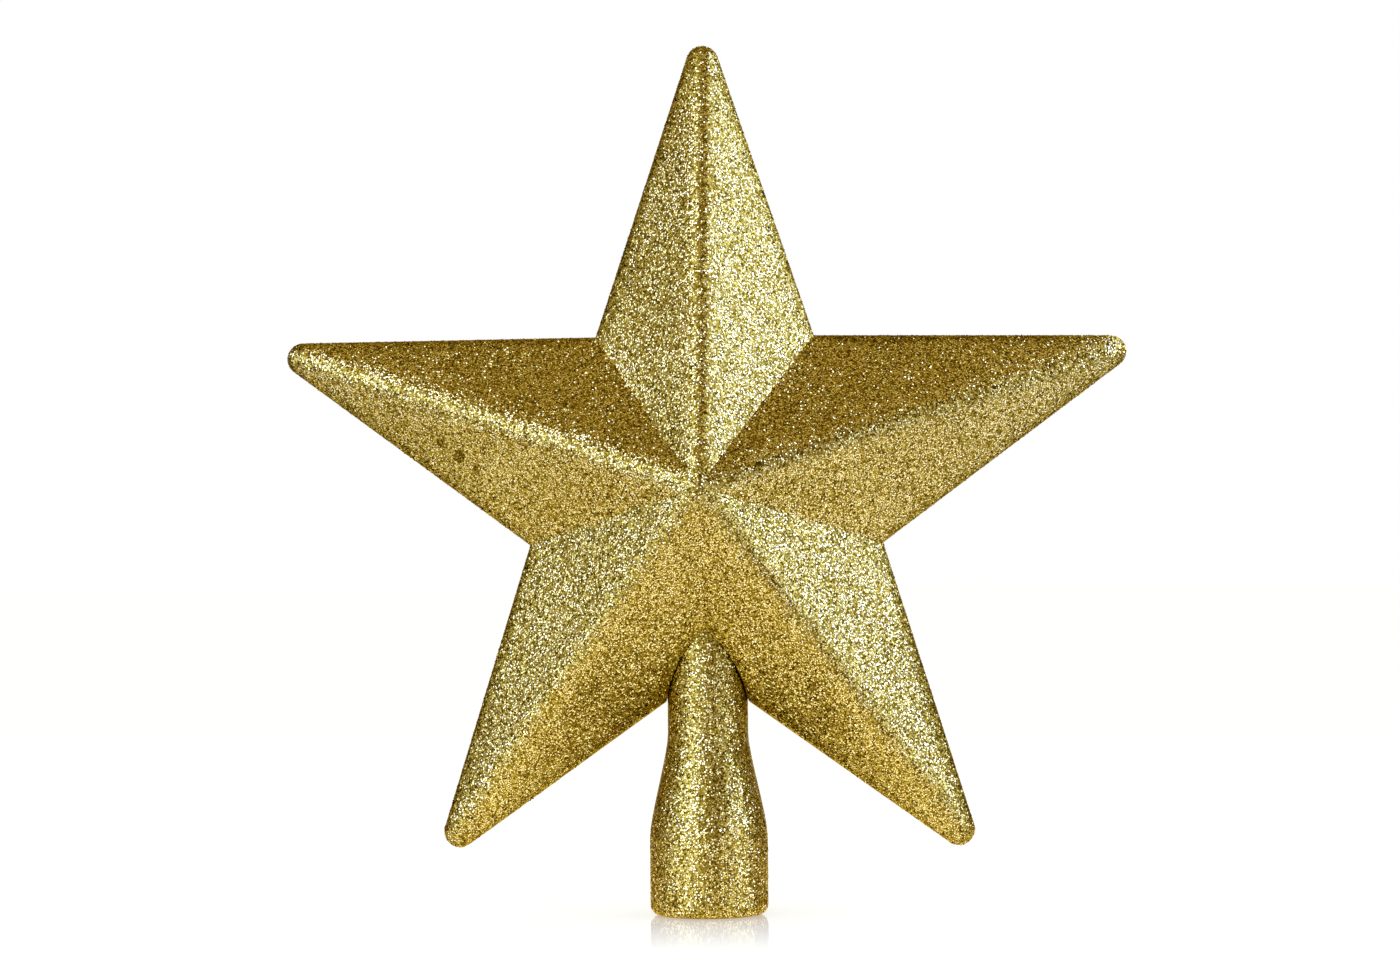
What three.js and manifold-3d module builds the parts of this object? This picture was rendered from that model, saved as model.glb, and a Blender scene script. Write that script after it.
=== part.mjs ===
// Christmas tree topper: a hollow five-pointed star, moulded in plastic as a front and a rear shell
// that close round a flared socket tube, which slips over the top shoot of the tree. All three are
// coated with gold glitter. Millimetres, +Z up. The origin is the centre of the socket's mouth, the
// star faces -Y, and the shells part on the plane y = 0.
import * as THREE from "three";
import { mergeVertices } from "three/addons/utils/BufferGeometryUtils.js";
import Module from "manifold-3d";

// Star
const armCount = 5;
const starCentreHeight = 96.8; // above the socket's mouth
const pointRadius = 107.4; // centre to where the straight sides of an arm would meet
const notchRadius = 42; // centre to the corner between two arms
const starDepth = 67.2; // front apex to rear apex
const edgeRound = 3.6; // rounding of the rim, the ridges and the arm tips
const shellWall = 1.6;

// Joint between the shells
const fitGap = 0.3; // left between pieces that seat on each other
const lipHeight = 1.6; // the front shell's lip stands this far into the rear shell
const bossDistance = 55; // star centre to the locating pin in each arm
const bossRadius = 3;
const pinRadius = 1.3;
const pinLength = 3;

// Socket tube
const mouthRadius = 13.3;
const mouthLength = 18; // straight wide part that stands on the rim
const flareLength = 23;
const flareBend = 4.5; // softness of the flare's two ends
const neckRadius = 9.1;
const tubeWall = 1.5;
const tubeTopDrop = 10.8; // closed end of the tube below the star's centre
const mouthRound = 2.4; // outer corner under the mouth
const lipRadius = 9.2; // hole in the turned-in lip
const endRound = 1.2; // outer corner of the closed end

// Grip ribs in the neck's bore
const gripRibCount = 4;
const gripRibHeight = 0.8;
const gripRibWidth = 1.2;
const gripRibLead = 4; // length of each rib's sloping start
const gripRibRise = 2; // ribs start this far above the flare

// Collar on the tube, and the cradle that traps it in each shell
const collarDrop = 16; // middle of the collar below the star's centre
const collarRadius = 11.6;
const collarHeight = 2;
const collarFlat = 10.2; // tube axis to the collar's two flats, which stop the star turning
const cradleWall = 1.4;

// Fineness of the faceted curves
const rimSteps = 8; // round the rim, from front flank to rear flank
const tipSteps = 12; // round a tip or a ridge, from one side of an arm to the other
const hiddenRimSteps = 4;
const hiddenTipSteps = 6;
const roundSides = 48;
const smallSides = 20;
const flareSteps = 8;
const cornerSteps = 4;

const goldGlitter = { color: 0xb8923a, roughness: 0.42, metalness: 0.85 };

const wasm = await Module();
wasm.setup();

// A closed three.js geometry as a solid that can be cut and joined.
function solidOf(geometry) {
  const bare = geometry.clone();
  bare.deleteAttribute("normal");
  bare.deleteAttribute("uv");
  const merged = mergeVertices(bare, 1e-4);
  const corners = merged.index.array;
  const triVerts = [];
  for (let i = 0; i < corners.length; i += 3) {
    const [a, b, c] = corners.slice(i, i + 3);
    // The quads that a revolve draws at its axis have one side of no length.
    if (a !== b && b !== c && c !== a) triVerts.push(a, b, c);
  }
  return new wasm.Manifold(
    new wasm.Mesh({
      numProp: 3,
      vertProperties: merged.attributes.position.array,
      triVerts: new Uint32Array(triVerts),
    }),
  );
}

function meshOf(name, solid) {
  const { vertProperties, triVerts } = solid.getMesh();
  const geometry = new THREE.BufferGeometry();
  geometry.setAttribute("position", new THREE.BufferAttribute(vertProperties, 3));
  geometry.setIndex(new THREE.BufferAttribute(triVerts, 1));
  geometry.computeVertexNormals();
  const mesh = new THREE.Mesh(geometry, new THREE.MeshStandardMaterial(goldGlitter));
  mesh.name = name;
  return mesh;
}

function box(low, high) {
  const size = high.map((value, i) => value - low[i]);
  const middle = high.map((value, i) => (value + low[i]) / 2);
  return solidOf(new THREE.BoxGeometry(...size).translate(...middle));
}

// An upright cylinder on the tube's axis.
function uprightRod(radius, bottom, top) {
  const rod = new THREE.CylinderGeometry(radius, radius, top - bottom, roundSides);
  return solidOf(rod.rotateX(Math.PI / 2).translate(0, 0, (top + bottom) / 2));
}

// A cylinder along Y, square to the parting plane, at a place in the star's plane.
function crossRod(radius, place, nearY, farY) {
  const rod = new THREE.CylinderGeometry(radius, radius, farY - nearY, smallSides);
  return solidOf(rod.translate(place.x, (nearY + farY) / 2, place.z));
}

// Star: the plane figure that its sides make, and the flanks that rise from them

const armTurn = (2 * Math.PI) / armCount;
const armAngles = Array.from({ length: armCount }, (_, k) => Math.PI / 2 + k * armTurn);
const notchSide = notchRadius * Math.sin(armTurn / 2);
const notchRise = notchRadius * Math.cos(armTurn / 2);
const armHalfAngle = Math.atan2(notchSide, pointRadius - notchRise);
const sideDistance = pointRadius * Math.sin(armHalfAngle);

// Every edge is rounded by one radius, so the star is the space that a ball of that radius sweeps
// when its centre fills a smaller star, the core. The core's sides lie one radius inside.
const coreShare = 1 - edgeRound / sideDistance;
const coreRise = starDepth / 2 - edgeRound;

// A flank faces this far round from its arm's middle line, and tilts this much to the front.
const flankTurn = Math.PI / 2 - armHalfAngle;
const flankTilt = Math.atan2(sideDistance - edgeRound, coreRise);

// A place in the star's plane, by its angle from +X and its distance from the star's centre.
function inStar(angle, distance, y = 0) {
  const x = distance * Math.cos(angle);
  const z = starCentreHeight + distance * Math.sin(angle);
  return new THREE.Vector3(x, y, z);
}

// A direction by its angle in the star's plane and its tilt from that plane to the front.
function direction(angle, tilt) {
  const flat = Math.cos(tilt);
  return new THREE.Vector3(flat * Math.cos(angle), -Math.sin(tilt), flat * Math.sin(angle));
}

// Round the apex each rounded ridge meets the next one at this share of its half width. A step of
// the faceted ridges falls there, so that they meet in one corner.
const ridgeTilt = Math.atan2(coreRise, pointRadius * coreShare);
const ridgeMeeting = Math.atan(Math.tan(armTurn / 2) * Math.sin(ridgeTilt));
const ridgeHalfTurn = direction(flankTurn, flankTilt).angleTo(direction(-flankTurn, flankTilt)) / 2;
const meetingShare = ridgeMeeting / ridgeHalfTurn;

// How many of a ridge's steps lie on the apex, to each side of its middle line.
function apexSteps(tips) {
  return Math.max(1, Math.round((tips / 2) * meetingShare));
}

// The ball's directions that wrap the tip of one arm. Its rows go from the front ridge round the
// rim to the rear ridge, and each row goes across the arm from its left side to its right.
function tipPatch(arm, rims, tips) {
  const half = tips / 2;
  const inner = apexSteps(tips);
  const shareAt = (step) => {
    if (step <= inner) return (meetingShare * step) / inner;
    return meetingShare + ((1 - meetingShare) * (step - inner)) / (half - inner);
  };
  return Array.from({ length: rims + 1 }, (_, i) => {
    const tilt = flankTilt * (1 - (2 * i) / rims);
    const left = direction(arm + flankTurn, tilt);
    const right = direction(arm - flankTurn, tilt);
    const axis = left.clone().cross(right).normalize();
    const halfTurn = left.angleTo(right) / 2;
    return Array.from({ length: tips + 1 }, (_, j) => {
      const share = Math.sign(j - half) * shareAt(Math.abs(j - half));
      return left.clone().applyAxisAngle(axis, halfTurn * (1 + share));
    });
  });
}

// Follows an edge of an arm from its tip towards the core's corner, and stops at the valley
// between this arm and the next where it comes to that first.
function upToValley(arm, from, to) {
  const centre = inStar(arm, 0);
  for (const side of [-1, 1]) {
    const beyond = direction(arm + (side * (armTurn + Math.PI)) / 2, 0);
    const start = from.clone().sub(centre).dot(beyond);
    const end = to.clone().sub(centre).dot(beyond);
    if (end > 0) return from.clone().lerp(to, start / (start - end));
  }
  return to;
}

// The star swept by a ball of the given radius. The full radius gives the outside, and a smaller
// one gives a face that lies evenly below it. Each arm is the rounded patch of its tip, and round
// that patch's border the strips that run in to the apexes and the valleys. At the four corners
// of the border a strip has no width at the tip, and is a flat flank.
function sweptStar(ballRadius, rims, tips) {
  const corners = [];
  const addQuad = (a, b, c, d) => corners.push(a, b, c, a, c, d);
  const poles = [-1, 1].map((side) => inStar(0, 0, side * (coreRise + ballRadius)));
  for (const arm of armAngles) {
    const rows = tipPatch(arm, rims, tips);
    const tip = inStar(arm, pointRadius * coreShare);
    const apexes = [-1, 1].map((side) => inStar(arm, 0, side * coreRise));
    const notches = [-1, 1].map((side) =>
      inStar(arm + (side * armTurn) / 2, notchRadius * coreShare),
    );
    const onBall = (centre, way) => centre.clone().addScaledVector(way, ballRadius);
    const patch = rows.map((row) => row.map((way) => onBall(tip, way)));
    for (let i = 0; i < rims; i++) {
      for (let j = 0; j < tips; j++) {
        addQuad(patch[i][j], patch[i][j + 1], patch[i + 1][j + 1], patch[i + 1][j]);
      }
    }
    const border = [
      ...rows[0].map((way) => [way, apexes[0]]),
      ...rows.map((row) => [row[tips], notches[0]]),
      ...rows[rims].toReversed().map((way) => [way, apexes[1]]),
      ...rows.toReversed().map((row) => [row[0], notches[1]]),
    ];
    const outer = border.map(([way]) => onBall(tip, way));
    const inner = border.map(([way, corner], b) => upToValley(arm, outer[b], onBall(corner, way)));
    border.forEach((_, b) => {
      const next = (b + 1) % border.length;
      addQuad(outer[next], outer[b], inner[b], inner[next]);
    });
    for (let j = tips / 2 - apexSteps(tips); j < tips / 2 + apexSteps(tips); j++) {
      const front = [j + 1, j].map((step) => onBall(apexes[0], rows[0][step]));
      const rear = [j, j + 1].map((step) => onBall(apexes[1], rows[rims][step]));
      corners.push(...front, poles[0], ...rear, poles[1]);
    }
  }
  return solidOf(new THREE.BufferGeometry().setFromPoints(corners));
}

// Tube sizes that the shells also need

const tubeTop = starCentreHeight - tubeTopDrop;
const collarMiddle = starCentreHeight - collarDrop;

// The collar as a plain block, grown all round by a gap for the pocket that holds it.
function collarBlock(gap) {
  const reach = collarHeight / 2 + gap;
  const flat = collarFlat + gap;
  const round = uprightRod(collarRadius + gap, collarMiddle - reach, collarMiddle + reach);
  const wide = collarRadius + 2 * gap + 1;
  const slab = box(
    [-wide, -flat, collarMiddle - 2 * reach],
    [wide, flat, collarMiddle + 2 * reach],
  );
  return round.intersect(slab);
}

// The cradle: a frame round the collar, carried on two webs that reach the shell's wall. The gaps
// for the collar and the tube are cut from it, and each shell takes the half on its own side.
function cradle(wallMiddle) {
  const half = collarHeight / 2 + fitGap + cradleWall;
  const wide = collarRadius + fitGap + cradleWall;
  const deep = collarFlat + fitGap + cradleWall;
  const low = collarMiddle - half;
  const high = collarMiddle + half;
  const frame = box([-wide, -deep, low], [wide, deep, high]);
  const lowerWeb = box([-wide, -starDepth, low], [wide, starDepth, low + cradleWall]);
  const upperWeb = box([-wide, -starDepth, high - cradleWall], [wide, starDepth, high]);
  return frame.add(lowerWeb).add(upperWeb).intersect(wallMiddle).subtract(collarBlock(fitGap));
}

// Shells

const skirtThickness = (shellWall - fitGap) / 2; // the lip and the skirt round it share the wall
const cavityBall = edgeRound - shellWall;
const outerStar = sweptStar(edgeRound, rimSteps, tipSteps);
const cavity = sweptStar(cavityBall, hiddenRimSteps, hiddenTipSteps);
const wallMiddle = sweptStar(edgeRound - shellWall / 2, hiddenRimSteps, hiddenTipSteps);
const lipOutside = sweptStar(cavityBall + skirtThickness, hiddenRimSteps, hiddenTipSteps);
const rebate = sweptStar(edgeRound - skirtThickness, hiddenRimSteps, hiddenTipSteps);

const wideReach = 2 * pointRadius;
const bossPlaces = armAngles.map((arm) => inStar(arm, bossDistance));
const tubeBore = uprightRod(
  neckRadius + fitGap,
  starCentreHeight - wideReach,
  tubeTop + fitGap,
);

// A slab of space between two values of y.
function slab(nearY, farY) {
  return box(
    [-wideReach, nearY, starCentreHeight - wideReach],
    [wideReach, farY, starCentreHeight + wideReach],
  );
}

function joinAll(solid, others) {
  return others.reduce((sum, other) => sum.add(other), solid);
}

function frontShell() {
  const side = slab(-starDepth, -fitGap / 2);
  const lip = lipOutside.intersect(slab(-shellWall, lipHeight));
  const wall = outerStar.intersect(side).add(lip).subtract(cavity);
  const bosses = bossPlaces.map((place) =>
    crossRod(bossRadius, place, -starDepth, -fitGap / 2).intersect(wallMiddle),
  );
  const pins = bossPlaces.map((place) => crossRod(pinRadius, place, -pinLength, pinLength));
  const frame = cradle(wallMiddle).intersect(side);
  return joinAll(wall, [...bosses, ...pins, frame]).subtract(tubeBore);
}

function rearShell() {
  const side = slab(fitGap / 2, starDepth);
  const lipSpace = rebate.intersect(slab(0, lipHeight + fitGap));
  const wall = outerStar.intersect(side).subtract(lipSpace).subtract(cavity);
  const bosses = bossPlaces.map((place) => {
    const hole = crossRod(pinRadius + fitGap, place, -pinLength, pinLength + fitGap);
    return crossRod(bossRadius, place, fitGap / 2, starDepth).intersect(wallMiddle).subtract(hole);
  });
  const frame = cradle(wallMiddle).intersect(side);
  return joinAll(wall, [...bosses, frame]).subtract(tubeBore);
}

// Socket tube: one revolved wall with a turned-in lip under the wide mouth, a flare up to the
// neck and a closed end, then the collar outside the neck and the grip ribs inside it.

function arc(centreR, centreZ, radius, fromDegrees, toDegrees) {
  return Array.from({ length: cornerSteps + 1 }, (_, i) => {
    const degrees = fromDegrees + ((toDegrees - fromDegrees) * i) / cornerSteps;
    const angle = THREE.MathUtils.degToRad(degrees);
    const r = centreR + radius * Math.cos(angle);
    return new THREE.Vector2(r, centreZ + radius * Math.sin(angle));
  });
}

// The flare's line from mouth to neck, drawn this far inside the tube's outer face.
function flare(inset) {
  const flareTop = mouthLength + flareLength;
  const curve = new THREE.CubicBezierCurve(
    new THREE.Vector2(mouthRadius - inset, mouthLength),
    new THREE.Vector2(mouthRadius - inset, mouthLength + flareBend),
    new THREE.Vector2(neckRadius - inset, flareTop - flareBend),
    new THREE.Vector2(neckRadius - inset, flareTop),
  );
  return curve.getPoints(flareSteps);
}

function tubeWallSolid() {
  const cornerR = mouthRadius - mouthRound;
  const lipEnd = tubeWall / 2;
  const inside = [
    new THREE.Vector2(0, tubeTop - tubeWall),
    new THREE.Vector2(neckRadius - tubeWall, tubeTop - tubeWall),
    ...flare(tubeWall).reverse(),
    ...arc(cornerR, mouthRound, mouthRound - tubeWall, 0, -90),
    ...arc(lipRadius + lipEnd, lipEnd, lipEnd, 90, 270),
  ];
  const outside = [
    ...arc(cornerR, mouthRound, mouthRound, -90, 0),
    ...flare(0),
    ...arc(neckRadius - endRound, tubeTop - endRound, endRound, 0, 90),
    new THREE.Vector2(0, tubeTop),
  ];
  const wall = new THREE.LatheGeometry([...inside, ...outside], roundSides);
  return solidOf(wall.rotateX(Math.PI / 2));
}

// One rib stands on the bore's wall and runs up into the closed end.
function gripRib(turn) {
  const bore = neckRadius - tubeWall;
  const rooted = bore + tubeWall / 2;
  const start = mouthLength + flareLength + gripRibRise;
  const end = tubeTop - tubeWall / 2;
  const outline = new THREE.Shape([
    new THREE.Vector2(rooted, start),
    new THREE.Vector2(rooted, end),
    new THREE.Vector2(bore - gripRibHeight, end),
    new THREE.Vector2(bore - gripRibHeight, start + gripRibLead),
    new THREE.Vector2(bore, start),
  ]);
  const rib = new THREE.ExtrudeGeometry(outline, { depth: gripRibWidth, bevelEnabled: false });
  rib.translate(0, 0, -gripRibWidth / 2).rotateX(Math.PI / 2).rotateZ(turn);
  return solidOf(rib);
}

function socketTube() {
  const insideNeck = uprightRod(neckRadius - tubeWall / 2, 0, tubeTop - tubeWall);
  const collar = collarBlock(0).subtract(insideNeck);
  const ribs = Array.from({ length: gripRibCount }, (_, k) =>
    gripRib((k * 2 * Math.PI) / gripRibCount),
  );
  return joinAll(tubeWallSolid(), [collar, ...ribs]);
}

const treeTopper = new THREE.Group();
treeTopper.add(
  meshOf("front_shell", frontShell()),
  meshOf("rear_shell", rearShell()),
  meshOf("socket_tube", socketTube()),
);

export default treeTopper;
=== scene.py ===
"""A gold glitter star for the top of a Christmas tree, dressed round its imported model. Metres, +Z up."""

import math

import bpy
from mathutils import Matrix, Vector


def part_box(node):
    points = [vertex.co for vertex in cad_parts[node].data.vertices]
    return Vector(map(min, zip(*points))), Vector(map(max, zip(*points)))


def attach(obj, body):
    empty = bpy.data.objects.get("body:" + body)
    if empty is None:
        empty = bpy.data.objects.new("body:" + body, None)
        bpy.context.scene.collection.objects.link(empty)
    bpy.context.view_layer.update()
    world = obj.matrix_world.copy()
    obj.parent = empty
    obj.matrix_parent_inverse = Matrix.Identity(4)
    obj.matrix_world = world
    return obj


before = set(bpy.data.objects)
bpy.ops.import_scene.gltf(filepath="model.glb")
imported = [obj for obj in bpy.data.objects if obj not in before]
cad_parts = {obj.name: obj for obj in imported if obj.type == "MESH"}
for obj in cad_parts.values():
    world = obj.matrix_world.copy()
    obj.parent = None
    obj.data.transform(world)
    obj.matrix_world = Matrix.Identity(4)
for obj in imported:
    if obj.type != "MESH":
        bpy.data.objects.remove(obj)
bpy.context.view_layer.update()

# Camera
# The photograph looks straight at the star from about a metre, level with its centre and three
# degrees round to its right. The star leans half a degree to the left in it.
photo_width = 1400
photo_height = 960
star_pixel = Vector((705.9, 486.5))
metres_per_pixel = 0.0002262
camera_distance = 1.0
camera_turn = math.radians(3)
camera_roll = math.radians(0.5)
sensor_width_mm = 36
edge_round = 0.0036
side_arm_rise = math.radians(18)

shell_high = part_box("front_shell")[1]
arm_length = (shell_high.x - edge_round) / math.cos(side_arm_rise)
star_centre = Vector((0, 0, shell_high.z - edge_round - arm_length))

camera_data = bpy.data.cameras.new("camera")
camera = bpy.data.objects.new("camera", camera_data)
bpy.context.scene.collection.objects.link(camera)
bpy.context.scene.camera = camera
camera_data.sensor_width = sensor_width_mm
camera_data.lens = sensor_width_mm * camera_distance / (metres_per_pixel * photo_width)
camera_back = Vector((math.sin(camera_turn), -math.cos(camera_turn), 0))
facing = (-camera_back).to_track_quat("-Z", "Y").to_matrix()
facing = facing @ Matrix.Rotation(-camera_roll, 3, "Z")
middle_pixel = Vector((photo_width, photo_height)) / 2
off_middle = (star_pixel - middle_pixel) * metres_per_pixel
aim = star_centre - facing @ Vector((off_middle.x, -off_middle.y, 0))
camera.matrix_world = Matrix.Translation(aim + camera_back * camera_distance) @ facing.to_4x4()


# Star shells
# Two thin plastic mouldings, glued together at the rim. Their outside is brushed with clear glue
# and rolled in gold glitter, so that a first layer of flakes lies flat in the glue.
grain_size = 0.00040
bed_tilt = 0.5
# Painted shade: the tone of this first layer is scaled down, as it lies in the shade of the loose flakes
# above it
bed_shade_tone = 0.25
bed_roughness = 0.2
cell_middle = (0.5, 0.5, 0.5)
film_brown = (0.06, 0.033, 0.0015, 1)
film_amber = (0.76, 0.58, 0.04, 1)
film_gold = (0.82, 0.71, 0.11, 1)
film_pale = (1.0, 0.99, 0.82, 1)
film_edge = (0.95, 0.78, 0.38, 1)


class Wire:
    """An output of a node. Sums on wires and numbers add Math nodes to the same tree."""

    def __init__(self, socket):
        self.socket = socket

    @classmethod
    def of(cls, tree, kind, settings=None, inputs=None, output=0):
        """Adds a node, sets it up, then fills its inputs by name or number with values or wires."""
        node = tree.nodes.new(kind)
        for name, value in (settings or {}).items():
            setattr(node, name, value)
        usable = [socket for socket in node.inputs if socket.enabled]
        by_name = {socket.name: socket for socket in reversed(usable)}
        for name, value in (inputs or {}).items():
            socket = usable[name] if isinstance(name, int) else by_name[name]
            if isinstance(value, Wire):
                tree.links.new(value.socket, socket)
            else:
                socket.default_value = value
        return cls(node.outputs[0]).also(output)

    def also(self, output):
        """Another output of the same node, by its name or by its place among those in use."""
        usable = [socket for socket in self.socket.node.outputs if socket.enabled]
        if isinstance(output, int):
            return Wire(usable[output])
        return Wire(next(socket for socket in usable if socket.name == output))

    def math(self, operation, *values):
        """A Math node on any values, in the tree of this wire."""
        settings = {"operation": operation}
        return Wire.of(self.socket.id_data, "ShaderNodeMath", settings, dict(enumerate(values)))

    def at_least(self, low):
        return self.math("MAXIMUM", self, low)

    def at_most(self, high):
        return self.math("MINIMUM", self, high)

    def __add__(self, other):
        return self.math("ADD", self, other)

    def __sub__(self, other):
        return self.math("SUBTRACT", self, other)

    def __mul__(self, other):
        return self.math("MULTIPLY", self, other)

    def __rsub__(self, other):
        return self.math("SUBTRACT", other, self)

    def __rtruediv__(self, other):
        return self.math("DIVIDE", other, self)

    def __gt__(self, other):
        return self.math("GREATER_THAN", self, other)

    __radd__ = __add__
    __rmul__ = __mul__


def vector_math(tree, operation, a, b=None, scale=None):
    """Vector Math on one or two vectors, or on one and a scale."""
    inputs = {0: a}
    if b is not None:
        inputs[1] = b
    if scale is not None:
        inputs["Scale"] = scale
    return Wire.of(tree, "ShaderNodeVectorMath", {"operation": operation}, inputs)


def mix_colour(tree, share, a, b):
    """Colour a where the share is 0 and b where it is 1."""
    settings = {"data_type": "RGBA"}
    return Wire.of(tree, "ShaderNodeMix", settings, {"Factor": share, "A": a, "B": b})


def new_material(name):
    """A material with an empty tree, as (material, tree, the output's Surface)."""
    material = bpy.data.materials.new(name)
    material.use_nodes = True
    tree = material.node_tree
    tree.nodes.clear()
    output = tree.nodes.new("ShaderNodeOutputMaterial")
    return material, tree, output.inputs["Surface"]


def film_colour(tree, tone, warmth):
    """The lacquer of one flake, from brown through gold to pale gold as its tone rises."""
    warm = mix_colour(tree, warmth, film_amber, film_gold)
    dull = mix_colour(tree, tone, film_brown, warm)
    bright = mix_colour(tree, tone, warm, film_pale)
    return mix_colour(tree, tone, dull, bright)


def glitter_shader(tree, place, normal):
    """Flakes in glue: each cell of the pattern has a tilt and a tone of its own, and the tone is scaled
    down as painted shade under the loose flakes.
    """
    cells = {"Vector": place, "Scale": 1 / grain_size, "Randomness": 1.0}
    cell = Wire.of(tree, "ShaderNodeTexVoronoi", {"feature": "F1"}, cells, "Color")
    lean = vector_math(tree, "SUBTRACT", cell, cell_middle)
    lean = vector_math(tree, "SCALE", lean, scale=bed_tilt)
    tilted = vector_math(tree, "NORMALIZE", vector_math(tree, "ADD", normal, lean))
    tone = Wire.of(tree, "ShaderNodeSeparateColor", inputs={0: cell})
    colour = film_colour(tree, tone * bed_shade_tone, tone.also("Blue"))
    inputs = {
        "Base Color": colour,
        "Metallic": 1.0,
        "Roughness": bed_roughness,
        "Normal": tilted,
        "Specular Tint": film_edge,
    }
    return Wire.of(tree, "ShaderNodeBsdfPrincipled", inputs=inputs)


def glitter_bed(name):
    """The first layer of flakes, all over the piece."""
    material, tree, surface = new_material(name)
    place = Wire.of(tree, "ShaderNodeTexCoord", output="Object")
    normal = Wire.of(tree, "ShaderNodeNewGeometry", output="Normal")
    tree.links.new(glitter_shader(tree, place, normal).socket, surface)
    return material


def give(piece, material):
    """Makes this the only material of the piece."""
    piece.data.materials.clear()
    piece.data.materials.append(material)


glitter_in_glue = glitter_bed("glitter_in_glue")
give(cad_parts["front_shell"], glitter_in_glue)
give(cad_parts["rear_shell"], glitter_in_glue)

# Socket tube
# One moulding in gold plastic, glued into the star and coated like it down to the rim. The bore
# stays bare, with the satin skin and the faint flow marks of its mould.
plastic_gold = (0.52, 0.35, 0.07, 1)
plastic_light = (0.66, 0.47, 0.12, 1)
plastic_metallic = 0.6
plastic_roughness = 0.25
flow_roughness = 0.2
flow_mark = 0.006
flow_detail = 3.0
off_axis_only = (1, 1, 0)
least_coated = 0.3


def coated_plastic(name):
    """Gold plastic, under flakes in glue wherever the surface faces away from the tube's axis."""
    material, tree, surface = new_material(name)
    place = Wire.of(tree, "ShaderNodeTexCoord", output="Object")
    normal = Wire.of(tree, "ShaderNodeNewGeometry", output="Normal")
    off_axis = vector_math(tree, "NORMALIZE", vector_math(tree, "MULTIPLY", place, off_axis_only))
    faces_out = vector_math(tree, "DOT_PRODUCT", off_axis, normal).also("Value")
    flow = {"Vector": place, "Scale": 1 / flow_mark, "Detail": flow_detail}
    flow = Wire.of(tree, "ShaderNodeTexNoise", inputs=flow)
    inputs = {
        "Base Color": mix_colour(tree, flow, plastic_gold, plastic_light),
        "Metallic": plastic_metallic,
        "Roughness": plastic_roughness + flow_roughness * flow,
    }
    bare = Wire.of(tree, "ShaderNodeBsdfPrincipled", inputs=inputs)
    coats = {0: faces_out > least_coated, 1: bare, 2: glitter_shader(tree, place, normal)}
    shader = Wire.of(tree, "ShaderNodeMixShader", inputs=coats)
    tree.links.new(shader.socket, surface)
    return material


give(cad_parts["socket_tube"], coated_plastic("coated_plastic"))

# Glitter
# Hexagons cut from gold-lacquered film, 0.4 mm across. They are shaken on to the wet glue all over
# the outside, where most lie nearly flat, some lean and a few stand almost on edge.
flake_corners = 6
flake_radius = 0.00020
flake_spacing = 0.00034
candidates_per_spacing = 5
flat_lean = math.radians(20)
loose_lean = math.radians(65)
loose_share = 0.15
highest_lift = 0.00005
smallest_flake = 0.8
largest_flake = 1.15
tone_bend = 0.8
film_roughness = 0.06
warm_roughness = 0.12
bare_rim = 0.0004
free_way = 0.3
soft_cell = 0.0012
soft_step = 0.5
soft_rounds = 48
swell_size = 0.022
swell_detail = 1.0
swell_lean = 0.3
proud_ridge = 0.0003
crisp_valley = 0.25
# Painted shade: the flakes darken within this reach of the corner between star and tube
corner_shade_reach = 0.0042
corner_shade_tone = 0.2
rim_reach = 0.003
rim_tone = 0.3
tube_share = 0.25
speck_pixels = ((463, 455), (443, 440), (479, 465), (765, 467))
speck_radii = (0.0014, 0.0009, 0.0008, 0.001)
ray_start = 0.00002
palette_edge = 0.02
palette_spot = 0.002
on_star = 1.0
on_tube = 0.0
halves = (("_left", -1.0), ("_right", 1.0))


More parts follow.
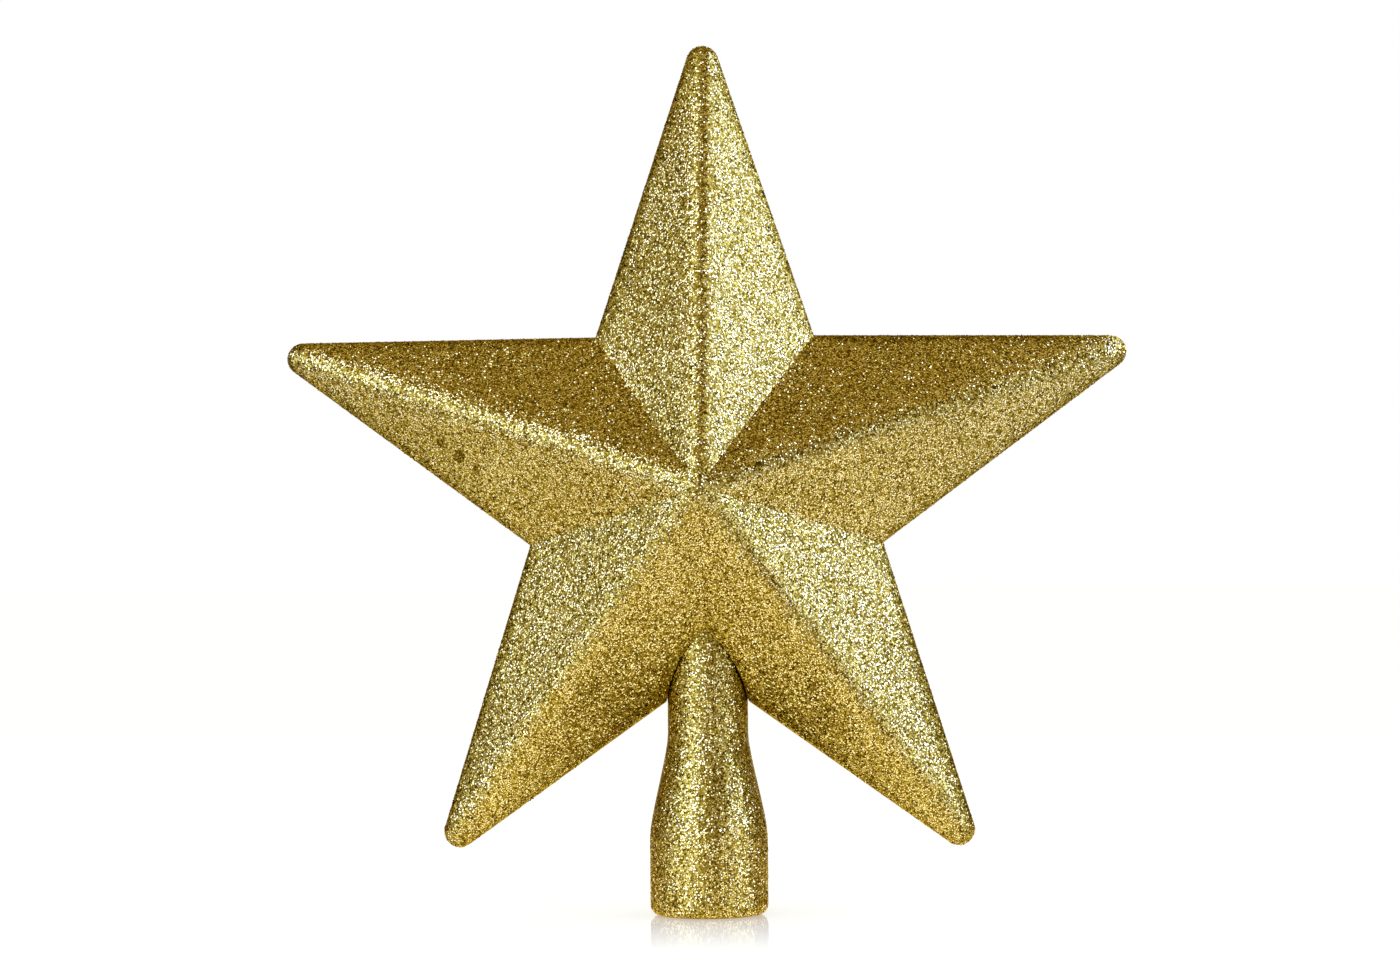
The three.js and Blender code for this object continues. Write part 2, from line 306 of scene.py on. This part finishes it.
def glitter_tree():
    """Scatters flakes over every part of a surface that nothing covers, on one side of x = 0.

    Softness is 1 on the star, whose thick coat is soft at the edges, and 0 on the tube.
    """
    tree = bpy.data.node_groups.new("scatter_glitter", "GeometryNodeTree")
    for name, kind in (
        ("Surface", "NodeSocketGeometry"),
        ("Whole", "NodeSocketObject"),
        ("Softened", "NodeSocketObject"),
        ("Softness", "NodeSocketFloat"),
        ("Neighbour", "NodeSocketObject"),
        ("Spacing", "NodeSocketFloat"),
        ("Flake radius", "NodeSocketFloat"),
        ("Flat lean", "NodeSocketFloat"),
        ("Loose lean", "NodeSocketFloat"),
        ("Loose share", "NodeSocketFloat"),
        ("Side", "NodeSocketFloat"),
        ("Seed", "NodeSocketInt"),
        ("Material", "NodeSocketMaterial"),
    ):
        tree.interface.new_socket(name, in_out="INPUT", socket_type=kind)
    tree.interface.new_socket("Flakes", in_out="OUTPUT", socket_type="NodeSocketGeometry")
    given = Wire.of(tree, "NodeGroupInput")

    def random_between(low, high, seed):
        inputs = {"Min": low, "Max": high, "Seed": seed}
        return Wire.of(tree, "FunctionNodeRandomValue", {"data_type": "FLOAT"}, inputs)

    def stored(geometry, name, value, kind="FLOAT", domain="POINT"):
        settings = {"data_type": kind, "domain": domain}
        inputs = {"Geometry": geometry, "Name": name, "Value": value}
        return Wire.of(tree, "GeometryNodeStoreNamedAttribute", settings, inputs)

    def named(name, kind="FLOAT"):
        settings = {"data_type": kind}
        return Wire.of(tree, "GeometryNodeInputNamedAttribute", settings, {"Name": name})

    def vector(x, y, z):
        return Wire.of(tree, "ShaderNodeCombineXYZ", inputs={0: x, 1: y, 2: z})

    # Spots for the flakes, where a ray straight out meets nothing, so that the bore gets none
    spacing = given.also("Spacing")
    scatter = {
        "Mesh": given.also("Surface"),
        "Distance Min": spacing,
        "Density Max": candidates_per_spacing / (spacing * spacing),
        "Seed": given.also("Seed"),
    }
    settings = {"distribute_method": "POISSON"}
    spots = Wire.of(tree, "GeometryNodeDistributePointsOnFaces", settings, scatter)
    outward = spots.also("Normal")
    whole = {"Object": given.also("Whole")}
    whole = Wire.of(tree, "GeometryNodeObjectInfo", inputs=whole, output="Geometry")
    place = Wire.of(tree, "GeometryNodeInputPosition")
    step_out = vector_math(tree, "SCALE", outward, scale=ray_start)
    ray = {
        "Target Geometry": whole,
        "Source Position": vector_math(tree, "ADD", place, step_out),
        "Ray Direction": outward,
        "Ray Length": free_way,
    }
    covered = Wire.of(tree, "GeometryNodeRaycast", inputs=ray, output="Is Hit")
    across = Wire.of(tree, "ShaderNodeSeparateXYZ", inputs={0: place})
    kept = (1 - covered) * (across * given.also("Side") > 0) * (across.also("Z") > bare_rim)
    split = {"Geometry": spots, "Selection": kept}
    spots = Wire.of(tree, "GeometryNodeSeparateGeometry", {"domain": "POINT"}, split)

    # The flakes darken as painted shade in the corner between star and tube, and darker towards the rim
    # where the star's two shells meet
    softness = given.also("Softness")
    strength = tube_share + (1 - tube_share) * softness
    other = {"Object": given.also("Neighbour")}
    other = Wire.of(tree, "GeometryNodeObjectInfo", inputs=other, output="Geometry")
    settings = {"target_element": "FACES"}
    corner = Wire.of(tree, "GeometryNodeProximity", settings, {0: other}, "Distance")
    corner = corner_shade_tone + corner * ((1 - corner_shade_tone) / corner_shade_reach)
    corner = 1 - strength * (1 - corner.at_most(1.0))
    depth = across.also("Y")
    rim = rim_tone + depth.math("ABSOLUTE", depth) * ((1 - rim_tone) / rim_reach)
    rim = 1 - softness * (1 - rim.at_most(1.0))
    clear = corner * rim

    # A few small specks on the front are dull and brown
    behind = depth > 0
    flat_place = vector(across, 0.0, across.also("Z"))
    for (pixel_x, pixel_y), radius in zip(speck_pixels, speck_radii):
        x = (pixel_x - star_pixel.x) * metres_per_pixel
        z = star_centre.z + (star_pixel.y - pixel_y) * metres_per_pixel
        beside = vector_math(tree, "SUBTRACT", flat_place, (x, 0, z))
        beside = vector_math(tree, "LENGTH", beside).also("Value")
        clear = clear * (behind + beside > radius)

    tone = random_between(0.0, 1.0, 1)
    tone = tone.math("POWER", tone, tone_bend)
    spots = stored(spots, "tone", tone * tone * (3 - 2 * tone) * clear)
    spots = stored(spots, "warmth", random_between(0.0, 1.0, 2))
    rise = vector_math(tree, "SCALE", outward, scale=random_between(0.0, highest_lift, 3))
    spots = Wire.of(tree, "GeometryNodeSetPosition", inputs={"Geometry": spots, "Offset": rise})

    # The coat rounds the ridges off and the valleys a little, and rises and sinks gently everywhere
    soft = {"Object": given.also("Softened")}
    soft = Wire.of(tree, "GeometryNodeObjectInfo", inputs=soft, output="Geometry")
    settings = {"data_type": "FLOAT_VECTOR"}
    nearest = {"Mesh": soft, "Value": Wire.of(tree, "GeometryNodeInputNormal")}
    nearest = Wire.of(tree, "GeometryNodeSampleNearestSurface", settings, nearest)
    under = {"Mesh": soft, "Value": place}
    under = Wire.of(tree, "GeometryNodeSampleNearestSurface", settings, under)
    proud = vector_math(tree, "SUBTRACT", place, under)
    proud = vector_math(tree, "DOT_PRODUCT", proud, outward).also("Value")
    ridge = proud * (1 / proud_ridge) + crisp_valley
    ridge = ridge.at_least(crisp_valley).at_most(1.0)
    swell = {"Vector": place, "Scale": 1 / swell_size, "Detail": swell_detail}
    swell = Wire.of(tree, "ShaderNodeTexNoise", inputs=swell, output="Color")
    swell = vector_math(tree, "SUBTRACT", swell, cell_middle)
    swell = vector_math(tree, "SCALE", swell, scale=swell_lean * strength)
    settings = {"data_type": "VECTOR"}
    softly = {"Factor": softness * ridge, "A": outward, "B": nearest}
    facing_out = Wire.of(tree, "ShaderNodeMix", settings, softly)
    facing_out = vector_math(tree, "ADD", facing_out, swell)
    upright = {"Vector": facing_out}
    upright = Wire.of(tree, "FunctionNodeAlignRotationToVector", {"axis": "Z"}, upright)

    # Each flake leans a little, or more if it is a loose one, and is spun at random
    flat = given.also("Flat lean")
    is_loose = given.also("Loose share") > random_between(0.0, 1.0, 4)
    lean = flat + is_loose * (given.also("Loose lean") - flat)
    tilt = (random_between(-0.5, 0.5, 5) + random_between(-0.5, 0.5, 6)) * lean
    pitch = (random_between(-0.5, 0.5, 7) + random_between(-0.5, 0.5, 8)) * lean
    spin = random_between(0.0, 2 * math.pi, 9)
    turn = Wire.of(tree, "FunctionNodeEulerToRotation", inputs={"Euler": vector(tilt, pitch, spin)})
    settings = {"rotation_space": "LOCAL"}
    turns = {"Rotation": upright, "Rotate By": turn}
    turned = Wire.of(tree, "FunctionNodeRotateRotation", settings, turns)
    size = random_between(smallest_flake, largest_flake, 10)

    circle = {"Vertices": flake_corners, "Radius": given.also("Flake radius")}
    flake = Wire.of(tree, "GeometryNodeMeshCircle", {"fill_type": "NGON"}, circle)
    flake = stored(flake, "corner", vector_math(tree, "NORMALIZE", place), "FLOAT_VECTOR")
    laid = {"Points": spots, "Instance": flake, "Rotation": turned, "Scale": vector(size, size, size)}
    flakes = Wire.of(tree, "GeometryNodeInstanceOnPoints", inputs=laid)
    flakes = Wire.of(tree, "GeometryNodeRealizeInstances", inputs={"Geometry": flakes})

    # A flake has one tone and one warmth, and its UV map puts it at that spot of a palette
    room = 1 - 2 * palette_edge
    spot = vector(named("tone") * room + palette_edge, named("warmth") * room + palette_edge, 0.0)
    reach = vector_math(tree, "SCALE", named("corner", "FLOAT_VECTOR"), scale=palette_spot)
    palette = vector_math(tree, "ADD", spot, reach)
    flakes = stored(flakes, "OFBake", palette, "FLOAT2", "CORNER")
    done_with = {"Geometry": flakes, "Name": "corner"}
    flakes = Wire.of(tree, "GeometryNodeRemoveAttribute", inputs=done_with)
    painted = {"Geometry": flakes, "Material": given.also("Material")}
    flakes = Wire.of(tree, "GeometryNodeSetMaterial", inputs=painted)
    output = tree.nodes.new("NodeGroupOutput")
    tree.links.new(flakes.socket, output.inputs["Flakes"])
    return tree


def glitter_film(name):
    """Lacquered film: one colour a flake, from brown gold to pale gold, and a hard shine."""
    material, tree, surface = new_material(name)
    tone = Wire.of(tree, "ShaderNodeAttribute", {"attribute_name": "tone"}, output="Fac")
    warmth = Wire.of(tree, "ShaderNodeAttribute", {"attribute_name": "warmth"}, output="Fac")
    inputs = {
        "Base Color": film_colour(tree, tone, warmth),
        "Metallic": 1.0,
        "Roughness": film_roughness + warm_roughness * warmth,
        "Specular Tint": film_edge,
    }
    shader = Wire.of(tree, "ShaderNodeBsdfPrincipled", inputs=inputs)
    tree.links.new(shader.socket, surface)
    return material


def joined(name, nodes):
    """Some of the CAD nodes as one object, for the flakes to find out what is near."""
    mesh = bpy.data.meshes.new(name)
    corners = []
    faces = []
    for node in nodes:
        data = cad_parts[node].data
        first = len(corners)
        corners += [vertex.co[:] for vertex in data.vertices]
        faces += [[first + i for i in face.vertices] for face in data.polygons]
    mesh.from_pydata(corners, [], faces)
    return bpy.data.objects.new(name, mesh)


both_shells = joined("both_shells", ("front_shell", "rear_shell"))
whole_topper = joined("whole_topper", ("front_shell", "rear_shell", "socket_tube"))

# The flakes on the star face out as on this copy of it, whose edges are worn soft
softened = whole_topper.copy()
bpy.context.scene.collection.objects.link(softened)
remesh = softened.modifiers.new("remesh", "REMESH")
remesh.mode = "VOXEL"
remesh.voxel_size = soft_cell
smooth = softened.modifiers.new("smooth", "SMOOTH")
smooth.factor = soft_step
smooth.iterations = soft_rounds

film = glitter_film("gold_film")
scatter = glitter_tree()


def scatter_glitter(name, host, side, seed, softness, neighbour):
    """Lays the flakes of one half of a CAD node, as a piece of their own."""
    piece = bpy.data.objects.new(name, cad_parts[host].data)
    bpy.context.scene.collection.objects.link(piece)
    modifier = piece.modifiers.new("glitter", "NODES")
    modifier.node_group = scatter
    values = {
        "Whole": whole_topper,
        "Softened": softened,
        "Softness": softness,
        "Neighbour": neighbour,
        "Spacing": flake_spacing,
        "Flake radius": flake_radius,
        "Flat lean": flat_lean,
        "Loose lean": loose_lean,
        "Loose share": loose_share,
        "Side": side,
        "Seed": seed,
        "Material": film,
    }
    for item in scatter.interface.items_tree:
        if item.name in values:
            modifier[item.identifier] = values[item.name]
    evaluated = piece.evaluated_get(bpy.context.evaluated_depsgraph_get())
    mesh = bpy.data.meshes.new_from_object(evaluated)
    mesh.name = name
    piece.modifiers.clear()
    piece.data = mesh
    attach(piece, "root")


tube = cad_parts["socket_tube"]
for name, host, slot, seed, softness, neighbour in (
    ("front_glitter", "front_shell", "star_glitter", 1, on_star, tube),
    ("rear_glitter", "rear_shell", "star_glitter", 2, on_star, tube),
    ("socket_glitter", "socket_tube", "socket_glitter", 3, on_tube, both_shells),
):
    for suffix, side in halves:
        scatter_glitter(name + suffix, host, side, seed, softness, neighbour)
for helper in (both_shells, softened, whole_topper):
    bpy.data.objects.remove(helper)

# Table and light
# A white, polished table under the star, and a white sheet behind it. A large soft light stands
# close on the right, and six smaller ones stand round the front from left to right, one of them
# high up. To everything but the camera the room is warm and dim.
table_reach = 3.0
table_white = (0.8, 0.8, 0.8, 1)
table_glow = 1.15
pure_white = (1, 1, 1, 1)
black = (0, 0, 0, 1)
warm_white = (1, 0.81, 0.36, 1)
glow_for_camera = 0.84
glow_for_gloss = 0.95
glow_reach = 0.3
glow_gain = 1.44
contact_reach = 0.02
contact_shade = 0.35
shine_share = 0.6
shine_tint = (1, 0.98, 0.90, 1)
shine_reach = 0.085
shine_roughness = 0.06
polish_bend = 1.8
sheet_edge = 0.94
room_horizon = (0.34, 0.24, 0.085, 1)
room_top = (0.63, 0.44, 0.11, 1)
lamp_tint = (0.89, 1.0, 1.08)
daylight_tint = (0.84, 1.0, 1.36)
lamp_distance = 1.1
right_lamp_distance = 0.36
left_lamp_distance = 0.5


def polished_white(name):
    """White lacquer. To the camera it glows, but for a contact shade, and mirrors the tube's foot.

    To the glitter it is a pool of warm light with a polish on it, and to all else it is plain white.
    """
    material, tree, surface = new_material(name)
    camera_ray = Wire.of(tree, "ShaderNodeLightPath", output="Is Camera Ray")
    glossy_ray = camera_ray.also("Is Glossy Ray")
    place = Wire.of(tree, "ShaderNodeTexCoord", output="Object")
    away = vector_math(tree, "LENGTH", place).also("Value")
    pool = (1 - away * (1 / glow_reach)).at_least(0.0)
    near = (1 - away * (1 / shine_reach)).at_least(0.0)

    open_air = {"Distance": contact_reach}
    open_air = Wire.of(tree, "ShaderNodeAmbientOcclusion", inputs=open_air, output="AO")
    white = mix_colour(tree, camera_ray, warm_white, pure_white)
    white = mix_colour(tree, (1 - open_air) * contact_shade, white, black)
    strength = table_glow * (1 + (glow_gain - 1) * glossy_ray)
    glow = Wire.of(tree, "ShaderNodeEmission", inputs={"Color": white, "Strength": strength})
    lit = Wire.of(tree, "ShaderNodeBsdfDiffuse", inputs={"Color": table_white})
    share = camera_ray * glow_for_camera + glossy_ray * pool * glow_for_gloss
    plain = Wire.of(tree, "ShaderNodeMixShader", inputs={0: share, 1: lit, 2: glow})

    gloss = {"Color": shine_tint, "Roughness": shine_roughness}
    shine = Wire.of(tree, "ShaderNodeBsdfAnisotropic", inputs=gloss)
    polish = Wire.of(tree, "ShaderNodeFresnel", inputs={"IOR": polish_bend})
    share = near * shine_share * camera_ray + glossy_ray * polish
    shader = Wire.of(tree, "ShaderNodeMixShader", inputs={0: share, 1: plain, 2: shine})
    tree.links.new(shader.socket, surface)
    return material


def studio(name):
    """White to the camera and behind the star, and a dim warm room to everything else."""
    world = bpy.data.worlds.new(name)
    world.use_nodes = True
    tree = world.node_tree
    tree.nodes.clear()
    camera_ray = Wire.of(tree, "ShaderNodeLightPath", output="Is Camera Ray")
    direction = Wire.of(tree, "ShaderNodeTexCoord", output="Generated")
    direction = Wire.of(tree, "ShaderNodeSeparateXYZ", inputs={0: direction})
    room = mix_colour(tree, direction.also("Z").at_least(0.0), room_horizon, room_top)
    white = camera_ray.at_least(direction.also("Y") > sheet_edge)
    colour = mix_colour(tree, white, room, pure_white)
    shader = Wire.of(tree, "ShaderNodeBackground", inputs={"Color": colour})
    output = tree.nodes.new("ShaderNodeOutputWorld")
    tree.links.new(shader.socket, output.inputs["Surface"])
    return world


def soft_light(name, azimuth, elevation, width, height, radiance, distance=lamp_distance, tint=lamp_tint):
    """A soft light that faces the star, with its place and size in degrees as seen from the star.

    Azimuth 0 is the camera's side and 90 the right of the picture.
    """
    turn = math.radians(azimuth)
    rise = math.radians(elevation)
    out = Vector((math.sin(turn) * math.cos(rise), -math.cos(turn) * math.cos(rise), math.sin(rise)))
    data = bpy.data.lights.new(name, "AREA")
    data.shape = "RECTANGLE"
    data.size = 2 * distance * math.tan(math.radians(width / 2))
    data.size_y = 2 * distance * math.tan(math.radians(height / 2))
    data.color = tint
    data.energy = radiance * math.pi * data.size * data.size_y
    light = bpy.data.objects.new(name, data)
    bpy.context.scene.collection.objects.link(light)
    light.location = star_centre + out * distance
    light.rotation_euler = out.to_track_quat("Z", "Y").to_euler()
    light.visible_camera = False


table_corners = [(x * table_reach, y * table_reach, 0) for x, y in ((-1, -1), (1, -1), (1, 1), (-1, 1))]
table_mesh = bpy.data.meshes.new("table")
table_mesh.from_pydata(table_corners, [], [(0, 1, 2, 3)])
table = bpy.data.objects.new("table", table_mesh)
bpy.context.scene.collection.objects.link(table)
give(table, polished_white("white_table"))
bpy.context.scene.world = studio("studio")

# Each light with its azimuth, elevation, width, height and radiance
soft_light("right_light", 99, 33, 68, 56, 1.82, right_lamp_distance, daylight_tint)
soft_light("low_right_light", 74, 7, 28, 24, 1.85)
soft_light("front_left_light", -38, 20, 46, 54, 2.05)
soft_light("low_front_light", -11, 5, 21, 16, 1.35)
soft_light("left_light", -89, 15, 33, 29, 1.5, left_lamp_distance)
soft_light("high_left_light", -45, 56, 24, 20, 1.15)
soft_light("front_light", 50, 8, 24, 28, 0.9)

bpy.context.scene.view_settings.view_transform = "Standard"
